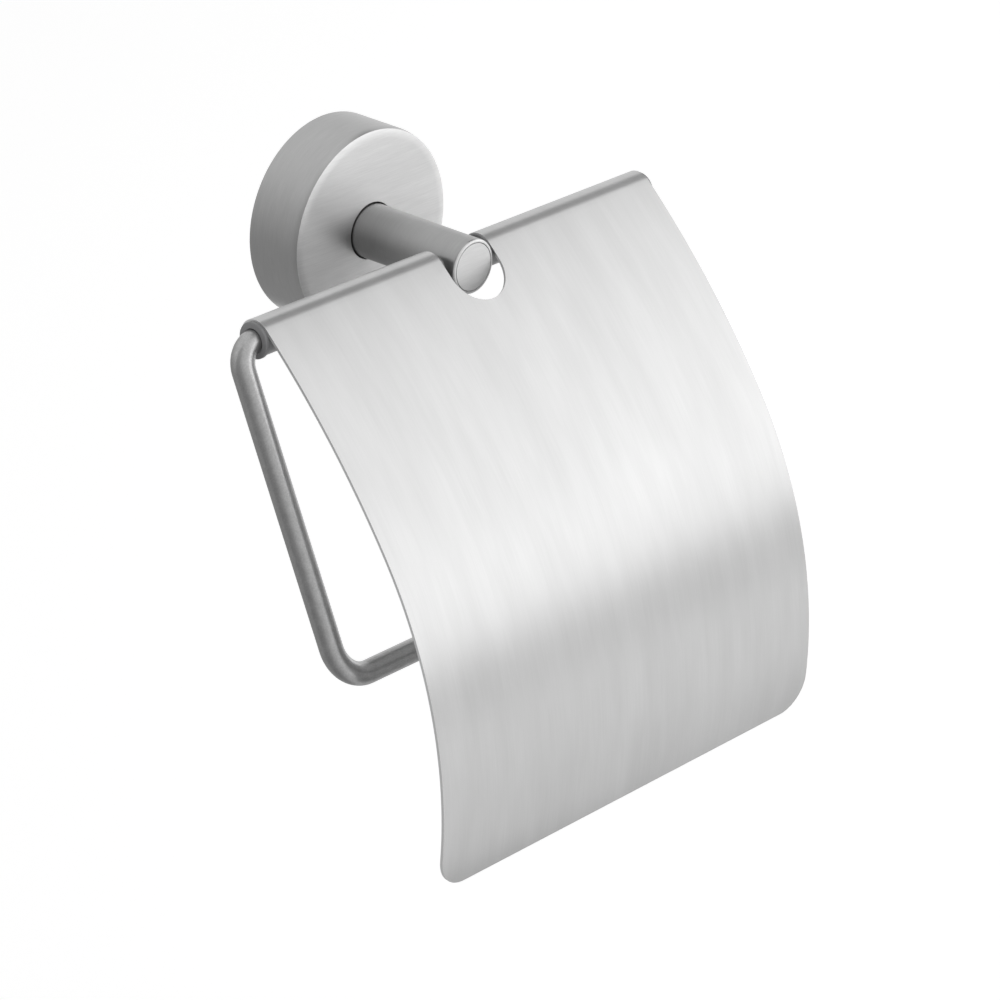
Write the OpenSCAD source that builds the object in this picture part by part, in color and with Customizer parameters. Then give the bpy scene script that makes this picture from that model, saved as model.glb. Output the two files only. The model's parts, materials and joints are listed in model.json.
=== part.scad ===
// Wall-mounted toilet paper holder with a hinged cover.
// Millimetres. The wall is the plane y = 0, the holder stands off it towards -Y,
// +X is to the right and +Z is up. The origin is the middle of the wall plate's back.

/* [Wall plate] */
// Web thickness against the wall
plate_web = 2.5; // [1.5:0.1:4]
// Height of the rim that the rosette slides over
plate_rim_h = 5; // [4:0.5:8]
// Thickness of the rim
plate_rim_t = 2.5; // [1.5:0.1:3]
// Diameter of the boss that carries the post
boss_d = 20; // [18:0.5:21]
// Height of the boss off the wall
boss_h = 10; // [9.2:0.1:11]
// Diameter of the two wall screw holes
wall_hole_d = 4.5; // [4:0.1:5]
// Distance from the plate's edge to the middle of each wall screw hole
wall_hole_inset = 8.65; // [7.2:0.05:10]
// Diameter of the countersinks
countersink_d = 8.6; // [7:0.1:9]
// Depth of the countersinks
countersink_h = 1.8; // [1:0.1:2.2]

/* [Rosette] */
// Diameter at the wall
rosette_d = 54; // [52:0.5:66]
// How much smaller the radius is at the face
rosette_taper = 0.25; // [0.2:0.05:2]
// Depth from the wall to the face
rosette_h = 18; // [15:0.5:24]
// Thickness of the side wall at the face
rosette_wall = 1.8; // [1.2:0.1:2.2]
// Thickness of the face
rosette_face_t = 1.5; // [1:0.1:3]
// Rounding of the front edge
rosette_edge_r = 3.2; // [0.6:0.1:3.2]

/* [Post] */
// Diameter of the post
post_d = 14.4; // [13.2:0.1:15.5]
// Distance from the wall to the front end
post_reach = 52.5; // [44:0.5:75]
// Distance from the front end back to the crossbar's axis
hinge_inset = 5.9; // [5.5:0.1:7.5]
// Rounding of the front edge
post_edge_r = 0.7; // [0.2:0.05:0.7]
// Width of the rim round the end cap
end_rim = 0.85; // [0.75:0.05:1.2]
// Thickness of the end cap
end_cap_t = 1.4; // [0.8:0.1:1.5]
// Side of the square spigot that keeps the post from turning
spigot_side = 8; // [7:0.1:9]
// Length of the spigot
spigot_len = 2; // [1:0.1:2.4]

/* [Roll rod] */
// Diameter of the rod
rod_d = 6; // [5:0.1:6.4]
// Distance from the cover's left end to the arm's axis
arm_offset = 6.5; // [6.2:0.1:12]
// Radius of the bend between crossbar and arm
arm_bend_r = 6.4; // [5.5:0.1:6.7]
// Distance from the crossbar's axis to the roll bar's axis
arm_len = 85.5; // [70:0.5:95]
// Forward tilt of the arm in degrees
arm_tilt = 24; // [18:0.5:25]
// Radius of the bend between arm and roll bar
bar_bend_r = 9; // [7:0.5:14]
// Distance from the roll bar's free end to the cover's right end
bar_end_gap = 12; // [0:0.5:20]
// Bevel at both ends of the rod
rod_bevel = 0.6; // [0.3:0.1:1]

/* [Cover] */
// Width of the cover
cover_w = 138.5; // [110:0.5:160]
// Sheet thickness
sheet_t = 0.8; // [0.6:0.05:1.2]
// Angle above the horizontal that the sheet faces where it leaves the curl
lead_angle = 47.2; // [44:0.1:50]
// Wrap of the curl round the bushes in degrees
curl_wrap = 218; // [190:1:250]
// Radius of the upper bend
upper_bend_r = 246; // [200:1:320]
// Turn of the upper bend in degrees
upper_bend_turn = 14.5; // [12:0.1:17]
// Radius of the lower bend
lower_bend_r = 121; // [110:1:135]
// Turn of the lower bend in degrees
lower_bend_turn = 42; // [34:0.5:44]
// Gap between the post and each side of the notch
notch_gap = 1.5; // [1.4:0.1:4]
// Distance along the sheet from the curl to the bottom of the notch
notch_depth = 13.9; // [12.5:0.1:20]
// Radius of the lower corners
corner_r = 9; // [2:0.5:20]
// How far the cover has slid to the left within its side play
cover_slide = 0.8; // [0:0.1:0.8]

/* [Bushes] */
// Wall thickness of the barrels
bush_wall = 1.3; // [1:0.05:1.8]
// Length of the barrels inside the curl
bush_len = 9; // [5:0.5:14]
// Thickness of the flanges at the cover's outer ends
outer_flange_t = 1; // [0.8:0.05:1.2]
// How far those flanges stay inside the curl's outer surface
outer_flange_inset = 0.5; // [0:0.05:0.6]
// Thickness of the flanges at the notch
inner_flange_t = 0.4; // [0.4:0.05:0.6]
// Rounding of the flange edges
flange_edge_r = 0.25; // [0.1:0.05:0.3]
// Width of the bevel at the mouth of the outer bushes
mouth_bevel = 0.7; // [0.6:0.05:0.8]

/* [Screws] */
// Diameter of the screw that holds the post
post_screw_d = 6; // [5:0.1:6.5]
// Length of that screw under its head
post_screw_len = 16; // [12:0.5:20]
// Diameter of its head
post_screw_head_d = 10; // [9:0.1:10.5]
// Height of its head
post_screw_head_h = 3.4; // [3:0.1:3.6]
// Width across the flats of its socket
post_screw_key = 4; // [3:0.1:4.5]
// Depth of its socket
post_screw_key_depth = 2; // [1:0.1:2.2]
// Outer diameter of the split lock washer
washer_d = 10.4; // [9:0.1:10.6]
// Thickness of the lock washer
washer_t = 1.6; // [1:0.1:1.6]
// Width of the washer's split
washer_split = 0.9; // [0.5:0.1:2]
// Diameter of the rosette's grub screw
rosette_grub_d = 3; // [2.5:0.1:4]
// Width across the flats of its socket
rosette_grub_key = 1.5; // [1.2:0.1:1.7]
// Diameter of the grub screw that clamps the crossbar
rod_grub_d = 4; // [3:0.1:4.5]
// Width across the flats of its socket
rod_grub_key = 2; // [1.5:0.1:2.3]
// Depth of both grub screws' sockets
grub_key_depth = 1.1; // [0.7:0.1:1.5]
// How far both grub screws lie below the surface
grub_sink = 0.4; // [0.2:0.1:0.8]

/* [Fits] */
// Radial gap between the bushes and the crossbar
running_gap = 0.05; // [0.02:0.01:0.1]
// Gap between fixed pieces that slide into each other
seat_gap = 0.05; // [0.02:0.01:0.1]
// Radial gap between the post and the hole in the rosette
post_gap = 0.35; // [0.2:0.05:0.6]
// Radial gap between the rosette and the wall plate
plate_gap = 0.3; // [0.1:0.05:0.5]
// Radial gap round the lock washer and under the screw head's rim
washer_gap = 0.3; // [0.2:0.05:0.4]
// Radial groove round the end cap
groove = 0.12; // [0.05:0.01:0.2]

/* [Hidden] */
$fn = 96;

// Overrun of every cut past the surface that it opens
over = 1;
// Step of a coarse move, which a fine move completes
fine = 0.001;

// Finishes
satin = [0.74, 0.74, 0.75];
satin_dark = [0.58, 0.58, 0.59];
cast = [0.66, 0.67, 0.68];
screw_steel = [0.5, 0.51, 0.52];
bush_grey = [0.55, 0.55, 0.56];

// Rosette and wall plate
rosette_r = rosette_d / 2;
rosette_face_r = rosette_r - rosette_taper;
rosette_in_r = rosette_face_r - rosette_wall;
plate_r = rosette_in_r - plate_gap;
wall_hole_spacing = 2 * (plate_r - wall_hole_inset);
grub_y = plate_rim_h / 2;

// Post and its seat
post_r = post_d / 2;
hinge_reach = post_reach - hinge_inset;
cap_r = post_r - end_rim - groove;
// Pocket behind the boss for the screw head and its washer
screw_back_gap = washer_gap;
screw_pocket_h = screw_back_gap + post_screw_head_h + washer_t;

// Bushes and curl, from the rod outwards
rod_r = rod_d / 2;
bush_bore_r = rod_r + running_gap;
bush_r = bush_bore_r + bush_wall;
curl_in_r = bush_r + seat_gap;
curl_r = curl_in_r + sheet_t;

// Ends of the cover and of the notch along X
cover_left = -cover_w / 2 - cover_slide;
cover_right = cover_w / 2 - cover_slide;
notch_r = post_r + notch_gap;
notch_left = -notch_r - cover_slide;
notch_right = notch_r - cover_slide;

// Roll rod
arm_x = cover_left - arm_offset;
crossbar_end = cover_right + outer_flange_t + rod_bevel;
bar_end = cover_right - bar_end_gap;

// Lays out the children along the post: local z is the distance from the wall, local y is up
module from_wall() { rotate([90, 0, 0]) children(); }

// Lays out a side view at the hinge: local x is forward, local y is up, local z is to the left
module side_view() { translate([0, -hinge_reach, 0]) rotate([90, 0, -90]) children(); }

// Lays out the children along the hinge axis: local z is to the right
module along_hinge(x) { translate([x, -hinge_reach, 0]) rotate([0, 90, 0]) children(); }

// Solid of revolution with a rounded edge at its far end
module rounded_bar(r, h, edge) {
    rotate_extrude() {
        square([r, h - edge]);
        square([r - edge, h]);
        translate([r - edge, h - edge]) intersection() {
            circle(r = edge);
            square(edge);
        }
    }
}

// Hexagon socket cut with the given width across flats
module hex_socket(key, depth) {
    translate([0, 0, -over]) cylinder(d = key / cos(30), h = depth + over, $fn = 6);
}

// Wall plate: a dished disc with a boss, two screw holes, a square seat and a screw pocket
module wall_plate() {
    color(cast) from_wall() difference() {
        rotate_extrude() {
            square([plate_r, plate_web]);
            translate([plate_r - plate_rim_t, 0]) square([plate_rim_t, plate_rim_h]);
            square([boss_d / 2, boss_h]);
        }
        for (side = [-1, 1]) translate([side * wall_hole_spacing / 2, 0, 0]) {
            translate([0, 0, -over]) cylinder(d = wall_hole_d, h = plate_web + 2 * over);
            translate([0, 0, plate_web - countersink_h])
                cylinder(d1 = wall_hole_d, d2 = countersink_d, h = countersink_h);
            translate([0, 0, plate_web]) cylinder(d = countersink_d, h = over);
        }
        translate([0, 0, -over]) cylinder(r = washer_d / 2 + washer_gap, h = screw_pocket_h + over);
        cylinder(r = post_screw_d / 2 + washer_gap, h = boss_h);
        translate([-spigot_side / 2 - seat_gap, -spigot_side / 2 - seat_gap,
                   boss_h - spigot_len - seat_gap])
            cube([spigot_side + 2 * seat_gap, spigot_side + 2 * seat_gap, spigot_len + over]);
    }
}

// Screw from behind through the wall plate into the post
module post_screw() {
    head_z = screw_back_gap;
    color(screw_steel) from_wall() translate([0, 0, head_z]) difference() {
        union() {
            cylinder(d = post_screw_head_d, h = post_screw_head_h);
            cylinder(d = post_screw_d, h = post_screw_head_h + post_screw_len);
        }
        hex_socket(post_screw_key, post_screw_key_depth);
    }
}

// Split washer between the screw head and the plate
module post_lock_washer() {
    washer_z = screw_pocket_h - washer_t;
    color(screw_steel) from_wall() translate([0, 0, washer_z]) difference() {
        cylinder(d = washer_d, h = washer_t);
        translate([0, 0, -over]) cylinder(r = post_screw_d / 2 + seat_gap, h = washer_t + 2 * over);
        translate([0, -washer_split / 2, -over]) cube([washer_d, washer_split, washer_t + 2 * over]);
    }
}

// Rosette: a cup with a slightly tapered wall, a rounded front edge and a hole for the post
module rosette() {
    color(satin) from_wall() difference() {
        rotate_extrude() {
            polygon([[0, 0], [rosette_r, 0], [rosette_face_r, rosette_h - rosette_edge_r],
                     [0, rosette_h - rosette_edge_r]]);
            square([rosette_face_r - rosette_edge_r, rosette_h]);
            translate([rosette_face_r - rosette_edge_r, rosette_h - rosette_edge_r]) intersection() {
                circle(r = rosette_edge_r);
                square(rosette_edge_r);
            }
        }
        translate([0, 0, -over]) cylinder(r = rosette_in_r, h = rosette_h - rosette_face_t + over);
        cylinder(r = post_r + post_gap, h = rosette_h + over);
        translate([0, 0, grub_y]) rotate([90, 0, 0])
            cylinder(r = rosette_grub_d / 2 + seat_gap, h = rosette_r + over);
    }
}

// Grub screw at the underside of the rosette, tight on the plate's rim
module rosette_grub_screw() {
    grub_top = plate_r + seat_gap;
    grub_len = rosette_r - grub_sink - grub_top;
    color(screw_steel) translate([0, -grub_y, -grub_top - grub_len]) difference() {
        cylinder(d = rosette_grub_d, h = grub_len);
        hex_socket(rosette_grub_key, grub_key_depth);
    }
}

// Post: a round bar with a square spigot, a screw bore, the crossbar hole and a recessed end
module post() {
    bore_h = post_screw_head_h + post_screw_len + screw_back_gap + seat_gap - boss_h;
    color(satin_dark) from_wall() difference() {
        union() {
            translate([0, 0, boss_h]) rounded_bar(post_r, post_reach - boss_h, post_edge_r);
            translate([-spigot_side / 2, -spigot_side / 2, boss_h - spigot_len])
                cube([spigot_side, spigot_side, spigot_len + over]);
        }
        translate([0, 0, boss_h - spigot_len - over])
            cylinder(r = post_screw_d / 2 + seat_gap, h = bore_h + spigot_len + over);
        translate([0, 0, hinge_reach]) rotate([0, 90, 0])
            cylinder(r = rod_r + seat_gap, h = post_d + 2 * over, center = true);
        translate([0, 0, hinge_reach]) rotate([90, 0, 0])
            cylinder(r = rod_grub_d / 2 + seat_gap, h = post_r + over);
        translate([0, 0, post_reach - end_cap_t]) cylinder(r = cap_r + groove, h = end_cap_t + over);
    }
}

// Flat disc pressed into the post's front end
module end_cap() {
    color(satin) from_wall() translate([0, 0, post_reach - end_cap_t])
        rounded_bar(cap_r, end_cap_t, groove);
}

// Grub screw at the underside of the post, tight on the crossbar
module rod_grub_screw() {
    grub_top = rod_r + seat_gap;
    grub_len = post_r - grub_sink - grub_top;
    color(screw_steel) translate([0, -hinge_reach, -grub_top - grub_len]) difference() {
        cylinder(d = rod_grub_d, h = grub_len);
        hex_socket(rod_grub_key, grub_key_depth);
    }
}

// Straight run of rod along X with a bevelled right end
module rod_run(x_from, x_to) {
    translate([x_from, 0, 0]) rotate([0, 90, 0]) {
        cylinder(r = rod_r, h = x_to - x_from - rod_bevel);
        translate([0, 0, x_to - x_from - rod_bevel])
            cylinder(r1 = rod_r, r2 = rod_r - rod_bevel, h = rod_bevel);
    }
}

// Quarter bend in the XZ plane that starts at the given angle from +X
module rod_bend(bend_r, start_angle) {
    rotate([90, 0, 0]) rotate([0, 0, start_angle])
        rotate_extrude(angle = 90) translate([bend_r, 0]) circle(r = rod_r);
}

// Roll rod: crossbar, arm and roll bar bent from one round bar
module roll_rod() {
    color(satin_dark) translate([0, -hinge_reach, 0]) rotate([-arm_tilt, 0, 0]) {
        rod_run(arm_x + arm_bend_r, crossbar_end);
        translate([arm_x + arm_bend_r, 0, -arm_bend_r]) rod_bend(arm_bend_r, 90);
        translate([arm_x, 0, -arm_len + bar_bend_r])
            cylinder(r = rod_r, h = arm_len - bar_bend_r - arm_bend_r);
        translate([arm_x + bar_bend_r, 0, -arm_len + bar_bend_r]) rod_bend(bar_bend_r, 180);
        translate([0, 0, -arm_len]) rod_run(arm_x + bar_bend_r, bar_end);
    }
}

// Strip of sheet bent round the local z axis, from one angle up to another
module bent_strip(outer_r, from_angle, turn) {
    rotate_extrude(start = from_angle, angle = turn)
        translate([outer_r - sheet_t, -cover_w / 2]) square([sheet_t, cover_w]);
}

// Frame at the seam between curl and upper bend: local x faces out of the sheet
module at_lead() { side_view() rotate([0, 0, lead_angle]) children(); }

// Frame at the axis of the upper bend
module at_upper_axis() { at_lead() translate([curl_r - upper_bend_r, 0, 0]) children(); }

// Frame at the axis of the lower bend. A coarse and a fine move keep every digit of its place
// in the exported numbers, so the two bends meet without a step.
module at_lower_axis() {
    shift = (upper_bend_r - lower_bend_r) * [cos(upper_bend_turn), -sin(upper_bend_turn), 0];
    coarse = [for (part = shift) round(part / fine) * fine];
    at_upper_axis() translate(coarse) translate(shift - coarse) children();
}

// Cover: a curl, an upper bend and a tighter lower bend, each tangent to the next
module cover() {
    full_turn = upper_bend_turn + lower_bend_turn;
    color(satin) translate([-cover_slide, 0, 0]) difference() {
        union() {
            at_lead() bent_strip(curl_r, 0, curl_wrap);
            at_upper_axis() bent_strip(upper_bend_r, -upper_bend_turn, upper_bend_turn);
            at_lower_axis() bent_strip(lower_bend_r, -full_turn, lower_bend_turn);
        }
        at_lead() translate([curl_r, 0, 0]) notch_cut();
        for (flip = [0, 1]) at_lower_axis() rotate([0, 0, -full_turn]) mirror([0, 0, flip])
            corner_cut();
    }
}

// U-shaped cut: local x faces out of the sheet, local y runs up along it
module notch_cut() {
    depth = 2 * curl_r + 2 * over;
    round_y = -notch_depth + notch_r;
    translate([-depth + over, 0, 0]) rotate([0, 90, 0]) {
        translate([0, round_y, 0]) cylinder(r = notch_r, h = depth);
        translate([-notch_r, round_y, 0]) cube([2 * notch_r, curl_r + over - round_y, depth]);
    }
}

// Cut that rounds the lower left corner: local y runs up along the sheet from its lower edge
module corner_cut() {
    translate([lower_bend_r - corner_r, 0, cover_w / 2 - corner_r]) rotate([0, 90, 0])
        linear_extrude(height = 2 * corner_r) difference() {
            translate([-corner_r - over, -over]) square([corner_r + over, corner_r + over]);
            translate([0, corner_r]) circle(r = corner_r);
        }
}

// Flanged bush: the barrel runs along +z into the curl, the flange lies outside its end
module bush(flange_r, flange_t, bevel) {
    difference() {
        union() {
            cylinder(r = bush_r, h = bush_len);
            mirror([0, 0, 1]) rounded_bar(flange_r, flange_t, flange_edge_r);
        }
        translate([0, 0, -flange_t - over]) cylinder(r = bush_bore_r, h = bush_len + flange_t + 2 * over);
        translate([0, 0, -flange_t]) cylinder(r1 = bush_bore_r + bevel, r2 = bush_bore_r, h = bevel);
    }
}

module outer_bush() { bush(curl_r - outer_flange_inset, outer_flange_t, mouth_bevel); }
module inner_bush() { bush(curl_r - flange_edge_r, inner_flange_t, flange_edge_r); }

module outer_bush_left() { color(bush_grey) along_hinge(cover_left) outer_bush(); }
module outer_bush_right() { color(bush_grey) along_hinge(cover_right) mirror([0, 0, 1]) outer_bush(); }
module inner_bush_left() { color(bush_grey) along_hinge(notch_left) mirror([0, 0, 1]) inner_bush(); }
module inner_bush_right() { color(bush_grey) along_hinge(notch_right) inner_bush(); }

wall_plate();
post_screw();
post_lock_washer();
rosette();
rosette_grub_screw();
post();
end_cap();
rod_grub_screw();
roll_rod();
cover();
outer_bush_left();
outer_bush_right();
inner_bush_left();
inner_bush_right();
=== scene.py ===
"""Wall-mounted toilet paper holder in satin stainless steel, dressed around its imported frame.

The holder's sizes are in millimetres, as in the part's source, and become metres where a mesh is made. The
studio's are in metres. The frame: +X right, -Y out of the wall, +Z up. A distance from the wall is called
forward.
"""

import json
import logging
import math
from dataclasses import dataclass, field, replace
from enum import Enum
from typing import Iterable, Sequence

import bmesh
import bpy
from mathutils import Matrix, Vector

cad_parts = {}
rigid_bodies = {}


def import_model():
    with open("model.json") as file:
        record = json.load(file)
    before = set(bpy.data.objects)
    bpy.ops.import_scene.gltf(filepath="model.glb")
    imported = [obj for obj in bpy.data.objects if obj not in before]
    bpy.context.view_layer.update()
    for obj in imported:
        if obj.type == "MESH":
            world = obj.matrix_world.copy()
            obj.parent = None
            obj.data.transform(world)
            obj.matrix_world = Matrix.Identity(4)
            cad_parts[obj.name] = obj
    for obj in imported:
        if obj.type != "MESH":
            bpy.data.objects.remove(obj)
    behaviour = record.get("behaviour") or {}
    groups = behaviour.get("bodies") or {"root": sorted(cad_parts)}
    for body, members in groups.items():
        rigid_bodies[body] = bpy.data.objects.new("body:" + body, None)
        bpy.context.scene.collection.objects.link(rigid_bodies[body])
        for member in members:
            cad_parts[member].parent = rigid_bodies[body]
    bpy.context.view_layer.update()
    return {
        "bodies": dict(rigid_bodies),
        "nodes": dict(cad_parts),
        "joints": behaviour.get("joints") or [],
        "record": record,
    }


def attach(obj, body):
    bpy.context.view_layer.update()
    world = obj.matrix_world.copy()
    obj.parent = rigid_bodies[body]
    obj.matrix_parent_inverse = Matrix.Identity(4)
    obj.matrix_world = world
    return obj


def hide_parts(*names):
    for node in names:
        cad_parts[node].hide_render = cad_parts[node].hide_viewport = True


MM = 0.001
HINGE_FORWARD = 46.6  # from the wall to the crossbar's axis
ON_AXIS = 1e-6  # a point nearer to an axis or a middle line lies on it
WELD = 1e-7  # points of a mesh that are nearer to each other, in metres, are one
HOLE_SHARP_DEG = 40.0  # an edge of a drilled piece that turns by more stays sharp
DRILL_PAST = 1.0  # how far a drill starts and ends outside what it cuts
NOISE_SPAN = (0.3, 0.7)  # nearly all of a noise lies between these
WHITE = "#FFFFFF"
STROKES = "strokes"
LOG = logging.getLogger("holder")

Point2 = tuple[float, float]
Socket = bpy.types.NodeSocket
Tree = bpy.types.NodeTree
Mesh = bmesh.types.BMesh
Piece = bpy.types.Object


def linear(colour: str) -> tuple[float, float, float, float]:
    """Turn an sRGB hex colour into linear light.

    Args:
        colour: Six hex digits with a leading #.

    Returns:
        Red, green, blue and alpha.
    """
    parts = [int(colour[i:i + 2], 16) / 255 for i in (1, 3, 5)]
    light = [c / 12.92 if c <= 0.04045 else ((c + 0.055) / 1.055) ** 2.4 for c in parts]
    return (*light, 1.0)


def add(tree: Tree, kind: str, links: dict | None = None, **settings: object) -> bpy.types.Node:
    """Add a node with its settings, links and values.

    Args:
        tree: The node tree.
        kind: The node's type.
        links: For an input's name or index, the socket that feeds it or its value.
        settings: Attributes of the node.

    Returns:
        The new node.
    """
    node = tree.nodes.new(kind)
    for name, value in settings.items():
        setattr(node, name, value)
    for name, source in (links or {}).items():
        if isinstance(source, Socket):
            tree.links.new(source, node.inputs[name])
        else:
            node.inputs[name].default_value = source
    return node


def blank_material(name: str) -> tuple[bpy.types.Material, Tree]:
    """Make a material that has no nodes yet.

    Args:
        name: The material's name.

    Returns:
        The material and its empty node tree.
    """
    made = bpy.data.materials.new(name)
    made.use_nodes = True
    made.node_tree.nodes.clear()
    return made, made.node_tree


def stored(name: str, mesh: Mesh) -> bpy.types.Mesh:
    """Store a built mesh.

    Args:
        name: The stored mesh's name.
        mesh: The built mesh, which is used up.

    Returns:
        The stored mesh.
    """
    data = bpy.data.meshes.new(name)
    mesh.to_mesh(data)
    mesh.free()
    return data


def linked(name: str, data: bpy.types.Mesh | bpy.types.Light | bpy.types.Camera) -> Piece:
    """Make an object and link it to the scene.

    Args:
        name: The object's name.
        data: Its mesh, light or camera.

    Returns:
        The object.
    """
    made = bpy.data.objects.new(name, data)
    bpy.context.scene.collection.objects.link(made)
    return made


# ---------------- finishes


class Coordinates(Enum):
    """Where a finish takes its pattern from."""

    STROKES = "the piece's own map, with u across the strokes and v along them, in metres"
    OBJECT = "the piece's place, in metres"


def around(tree: Tree, noise: Socket, middle: float, reach: float, span: Point2 = NOISE_SPAN) -> Socket:
    """Map a noise to a range.

    Args:
        tree: The material's nodes.
        noise: The noise.
        middle: Middle of the range.
        reach: How far the range goes from there. A negative one turns it round.
        span: The noise's values at the range's ends.

    Returns:
        The mapped value.
    """
    return add(tree, "ShaderNodeMapRange", {
        "Value": noise, "From Min": span[0], "From Max": span[1], "To Min": middle - reach,
        "To Max": middle + reach}).outputs[0]


@dataclass(frozen=True)
class Finish:
    """What a surface is made of and how it was made. Each kind adds its own shader."""

    name: str
    colour: str

    def shader(self, tree: Tree) -> Socket:
        """Add the nodes of the surface, and give their result."""
        raise NotImplementedError

    def material(self) -> bpy.types.Material:
        """Build the material once, and give the same one back later.

        Returns:
            The material.
        """
        if self.name not in bpy.data.materials:
            _, tree = blank_material(self.name)
            add(tree, "ShaderNodeOutputMaterial", {"Surface": self.shader(tree)})
        return bpy.data.materials[self.name]

    def tinted(self, tree: Tree, factor: Socket) -> Socket:
        """Add the finish's colour times a factor, and give the result."""
        return add(tree, "ShaderNodeVectorMath", {0: linear(self.colour)[:3], "Scale": factor},
                   operation="SCALE").outputs[0]


@dataclass(frozen=True)
class SteelFinish(Finish):
    """Stainless steel, ground or brushed. The strokes scatter light across themselves.

    stroke_mm is the width and the length of the finest strokes drawn, cloud_mm of the soft streaks that
    the abrasive belt leaves. The real strokes are 0.05 to 0.1 mm wide, too fine to show, so they are drawn
    coarser.
    """

    roughness: float
    anisotropy: float = 0.0
    stroke_mm: Point2 = (0.4, 0.4)
    cloud_mm: Point2 = (3.0, 3.0)
    stroke_contrast: float = 0.03
    cloud_contrast: float = 0.02
    roughness_spread: float = 0.02
    bump_mm: float = 0.001
    coordinates: Coordinates = Coordinates.STROKES

    def shader(self, tree: Tree) -> Socket:
        """Add the nodes of the surface.

        Args:
            tree: The material's nodes.

        Returns:
            The surface.
        """
        if self.coordinates is Coordinates.STROKES:
            place = add(tree, "ShaderNodeUVMap", uv_map=STROKES).outputs["UV"]
        else:
            place = add(tree, "ShaderNodeTexCoord").outputs["Object"]
        stroke = self.noise(tree, place, self.stroke_mm, detail=3.0, seed=0.0)
        cloud = self.noise(tree, place, self.cloud_mm, detail=2.0, seed=3.7)
        light = around(tree, stroke, 1, self.stroke_contrast)
        soft = around(tree, cloud, 1, self.cloud_contrast)
        factor = add(tree, "ShaderNodeMath", {0: light, 1: soft}, operation="MULTIPLY").outputs[0]
        rough = around(tree, stroke, self.roughness, -self.roughness_spread)
        bump = add(tree, "ShaderNodeBump", {"Strength": 1.0, "Distance": self.bump_mm * MM,
                                            "Height": stroke})
        links = {"Base Color": self.tinted(tree, factor), "Metallic": 1.0, "Roughness": rough,
                 "Normal": bump.outputs[0], "Anisotropic": self.anisotropy}
        if self.anisotropy:
            tangent = add(tree, "ShaderNodeTangent", direction_type="UV_MAP", uv_map=STROKES)
            links["Tangent"] = tangent.outputs[0]
        return add(tree, "ShaderNodeBsdfPrincipled", links).outputs[0]

    @staticmethod
    def noise(tree: Tree, place: Socket, size_mm: Point2, detail: float, seed: float) -> Socket:
        """Add a noise stretched along the strokes.

        Args:
            tree: The material's nodes.
            place: Coordinates in metres.
            size_mm: Width and length of one stroke.
            detail: Octaves of finer noise.
            seed: Offset that tells two noises apart.

        Returns:
            The noise, about 0.3 to 0.7.
        """
        across, along = (1 / (size * MM) for size in size_mm)
        scale = (across, along, across)
        moved = add(tree, "ShaderNodeMapping", {"Vector": place, "Scale": scale,
                                                "Location": (seed, seed, seed)})
        return add(tree, "ShaderNodeTexNoise", {"Vector": moved.outputs[0], "Scale": 1.0, "Detail": detail,
                                                "Roughness": 0.6}).outputs["Fac"]


@dataclass(frozen=True)
class PlasticFinish(Finish):
    """Injection-moulded bearing plastic: smooth, slightly uneven in gloss, with a faint flow mottle."""

    roughness: float = 0.42
    roughness_spread: float = 0.06
    mottle_mm: float = 0.9
    mottle_contrast: float = 0.1
    bump_mm: float = 0.01
    bump_strength: float = 0.4

    def shader(self, tree: Tree) -> Socket:
        """Add the nodes of the surface.

        Args:
            tree: The material's nodes.

        Returns:
            The surface.
        """
        place = add(tree, "ShaderNodeTexCoord").outputs["Object"]
        mottle = add(tree, "ShaderNodeTexNoise", {"Vector": place, "Scale": 1 / (self.mottle_mm * MM),
                                                  "Detail": 3.0}).outputs["Fac"]
        factor = around(tree, mottle, 1, self.mottle_contrast, span=(0.0, 1.0))
        rough = around(tree, mottle, self.roughness, self.roughness_spread, span=(0.0, 1.0))
        bump = add(tree, "ShaderNodeBump", {"Strength": self.bump_strength, "Distance": self.bump_mm * MM,
                                            "Height": mottle})
        return add(tree, "ShaderNodeBsdfPrincipled", {
            "Base Color": self.tinted(tree, factor), "Roughness": rough,
            "Normal": bump.outputs[0]}).outputs[0]


# Stainless sheet, brushed on a belt from the hinge to the lower edge: bright, with long soft streaks
SHEET = SteelFinish("brushed_stainless_sheet", "#C3C3C3", 0.36, anisotropy=0.75, stroke_mm=(0.35, 22.0),
                    cloud_mm=(7.0, 36.0), stroke_contrast=0.018, cloud_contrast=0.035, roughness_spread=0.012,
                    bump_mm=0.0006)
# The sheet's cut edge, deburred: a colour brighter than its faces paints a highlight along it, so that it
# shows as a thin light line
SHEET_EDGE_HIGHLIGHT = SteelFinish("sheet_edge_painted_highlight", "#EAEAEA", 0.4, coordinates=Coordinates.OBJECT)
# Rosette face, brushed on a flat belt along X: short fine strokes
ROSETTE_FACE = SteelFinish("brushed_stainless_face", "#D4D4D4", 0.38, anisotropy=0.75, stroke_mm=(0.3, 7.0),
                           cloud_mm=(1.4, 16.0), stroke_contrast=0.04, cloud_contrast=0.03, bump_mm=0.0012)
# Rosette wall and the end disc's side, finished on the lathe, the strokes run round the axis. Its colour is
# darker than the brushed faces' to paint the shade that falls on these sides
TURNED_SHADED = SteelFinish("satin_turned_stainless_painted_shade", "#B0B0B0", 0.38, anisotropy=0.5, stroke_mm=(0.3, 6.0),
                     cloud_mm=(1.6, 14.0), stroke_contrast=0.035)
# Post, finished on the lathe in the same way, in a still darker colour that paints the shade on the bar
POST_BAR_SHADED = replace(TURNED_SHADED, name="post_bar_painted_shade", colour="#A4A4A4", roughness=0.36)
# End disc and the front rim of the post, brushed straight across
CAP = SteelFinish("brushed_stainless_cap", "#CECECE", 0.48, anisotropy=0.4, stroke_mm=(0.25, 5.0),
                  cloud_mm=(1.5, 9.0), cloud_contrast=0.03)
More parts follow.
